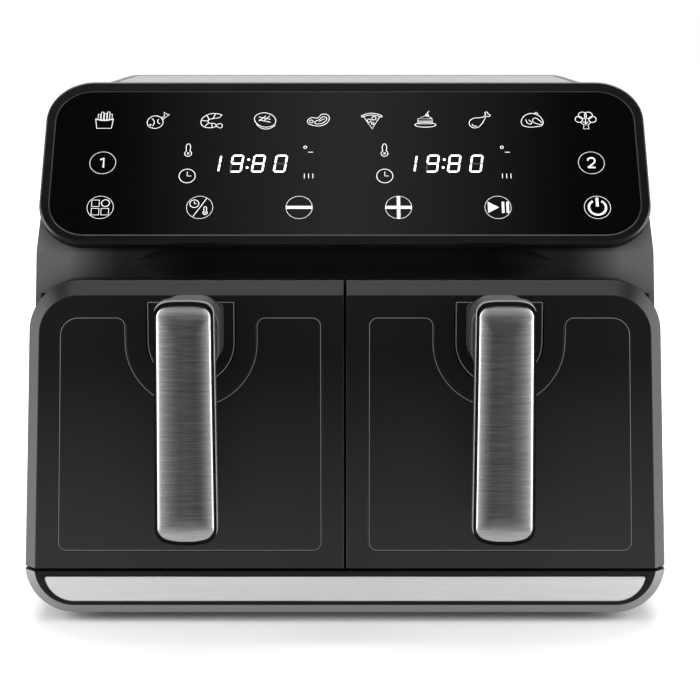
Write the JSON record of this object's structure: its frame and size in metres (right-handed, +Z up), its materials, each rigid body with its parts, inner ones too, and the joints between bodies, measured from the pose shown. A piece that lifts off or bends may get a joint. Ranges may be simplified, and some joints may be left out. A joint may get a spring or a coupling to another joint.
{
  "type": "dual-drawer air fryer",
  "caption": "Countertop air fryer with side-by-side cooking drawers on bar handles, lift-out crisper plates, a sloping black touch panel and steel trim",
  "frame": {"origin": "centre of the footprint, handles and rear stand-offs included, on the surface that the feet stand on", "axes": "+X to the right as seen from the front, +Y to the back, +Z up"},
  "size_m": [0.388, 0.4026, 0.3228],
  "materials": {
    "housing": "fine-grained moulded plastic, dark grey",
    "front": "satin moulded plastic, near black",
    "gloss_black": "polished black plastic",
    "panel_glass": "polished black touch panel with white printed icons",
    "brushed_steel": "brushed stainless steel trim",
    "liner": "aluminised sheet",
    "non_stick": "dark grey non-stick coating",
    "heater": "dull heat-tinted steel tube and wire",
    "motor": "plain metal motor can",
    "nylon": "off-white nylon",
    "circuit_board": "green circuit board with parts soldered on",
    "rubber": "black rubber",
    "screw": "zinc-plated steel"
  },
  "bodies": {
    "chassis": {"base_tray": "housing", "base_trim": "brushed_steel", "outer_housing": "housing", "top_plate": "brushed_steel", "rear_cover": "housing", "cord_gland": "rubber", "front_frame": "front", "motor_deck": "liner", "power_board": "circuit_board", "panel_frame": "gloss_black", "panel_glass": "panel_glass", "control_board": "circuit_board", "foot_front_left": "rubber", "base_screw_front_left": "screw", "foot_front_right": "rubber", "base_screw_front_right": "screw", "foot_rear_left": "rubber", "base_screw_rear_left": "screw", "foot_rear_right": "rubber", "base_screw_rear_right": "screw", "cavity_liner_left": "liner", "drawer_switch_left": "nylon", "heating_element_left": "heater", "element_guard_left": "heater", "motor_left": "motor", "temperature_sensor_left": "screw", "exhaust_duct_left": "liner", "rear_spacer_left": "housing", "cavity_liner_right": "liner", "drawer_switch_right": "nylon", "heating_element_right": "heater", "element_guard_right": "heater", "motor_right": "motor", "temperature_sensor_right": "screw", "exhaust_duct_right": "liner", "rear_spacer_right": "housing"},
    "left_drawer": {"drawer_front_left": "front", "front_inlay_left": "front", "handle_escutcheon_left": "front", "drawer_back_plate_left": "front", "handle_mount_left": "housing", "handle_frame_left": "gloss_black", "handle_insert_left": "brushed_steel", "pan_left": "non_stick"},
    "left_crisper": {"crisper_plate_left": "non_stick"},
    "left_fan": {"impeller_left": "liner", "cooling_fan_left": "nylon", "motor_shaft_left": "screw"},
    "right_drawer": {"drawer_front_right": "front", "front_inlay_right": "front", "handle_escutcheon_right": "front", "drawer_back_plate_right": "front", "handle_mount_right": "housing", "handle_frame_right": "gloss_black", "handle_insert_right": "brushed_steel", "pan_right": "non_stick"},
    "right_crisper": {"crisper_plate_right": "non_stick"},
    "right_fan": {"impeller_right": "liner", "cooling_fan_right": "nylon", "motor_shaft_right": "screw"}
  },
  "joints": [
    {"name": "left_drawer_slide", "type": "slide", "parent": "chassis", "child": "left_drawer", "axis": [0, -1, 0], "range_m": [0, 0.26]},
    {"name": "left_plate_lift", "type": "slide", "parent": "left_drawer", "child": "left_crisper", "axis": [0, 0, 1], "range_m": [0, 0.11]},
    {"name": "left_fan_spin", "type": "hinge", "parent": "chassis", "child": "left_fan", "pos_m": [-0.0945, 0.008, 0.23], "axis": [0, 0, 1], "continuous": true},
    {"name": "right_drawer_slide", "type": "slide", "parent": "chassis", "child": "right_drawer", "axis": [0, -1, 0], "range_m": [0, 0.26]},
    {"name": "right_plate_lift", "type": "slide", "parent": "right_drawer", "child": "right_crisper", "axis": [0, 0, 1], "range_m": [0, 0.11]},
    {"name": "right_fan_spin", "type": "hinge", "parent": "chassis", "child": "right_fan", "pos_m": [0.0945, 0.008, 0.23], "axis": [0, 0, 1], "continuous": true}
  ]
}
